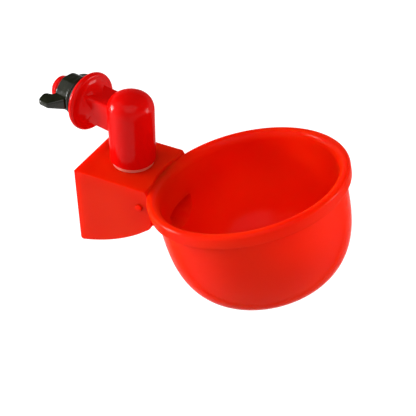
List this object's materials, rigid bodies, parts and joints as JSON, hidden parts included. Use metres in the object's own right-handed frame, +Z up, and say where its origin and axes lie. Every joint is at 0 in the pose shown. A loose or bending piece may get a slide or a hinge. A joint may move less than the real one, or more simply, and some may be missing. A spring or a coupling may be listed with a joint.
{
  "type": "automatic chicken waterer",
  "caption": "Red plastic drinking cup for poultry with a float chamber, hung from a swivelling inlet elbow that a wing nut clamps to a bucket wall.",
  "frame": {"origin": "on the axis of the threaded inlet stud, in the flange's wall-side face", "axes": "-X along the stud, through the bucket wall; +Z up, along the swivel axis of the cup; the cup hangs on the +X side, turned 11.8 degrees about +Z as the picture shows it"},
  "size_m": [0.1077, 0.0652, 0.06],
  "materials": {
    "cup": "glossy moulded polypropylene",
    "elbow": "glossy moulded plastic",
    "gasket": "satin black rubber",
    "nut": "glossy black nylon",
    "washer": "clear silicone over red",
    "clip": "white acetal",
    "float": "moulded plastic",
    "pad": "natural silicone"
  },
  "bodies": {
    "inlet": {"elbow": "elbow", "wall_gasket": "gasket", "swivel_washer": "washer", "swivel_clip": "clip"},
    "cup": {"cup_body": "cup", "float_pin": "float"},
    "float": {"float": "float", "valve_pad": "pad"},
    "clamp_washer": {"nut_washer": "gasket"},
    "wing_nut": {"wing_nut": "nut"}
  },
  "joints": [
    {"name": "cup_swivel", "type": "hinge", "parent": "inlet", "child": "cup", "pos_m": [0.0191, 0, -0.0164], "axis": [0, 0, 1], "continuous": true},
    {"name": "float_hinge", "type": "hinge", "parent": "cup", "child": "float", "pos_m": [0.0284, 0.00194, -0.02335], "axis": [-0.2045, 0.9789, 0], "range_deg": [0, 8]},
    {"name": "nut_travel", "type": "slide", "parent": "inlet", "child": "clamp_washer", "axis": [-1, 0, 0], "range_m": [0, 0.00438]},
    {"name": "nut_turn", "type": "hinge", "parent": "clamp_washer", "child": "wing_nut", "pos_m": [-0.00275, 0, 0], "axis": [-1, 0, 0], "range_deg": [0, 900]}
  ],
  "couplings": [
    {"joint": "nut_turn", "follows": "nut_travel", "rad_per_m": 3590.4}
  ]
}
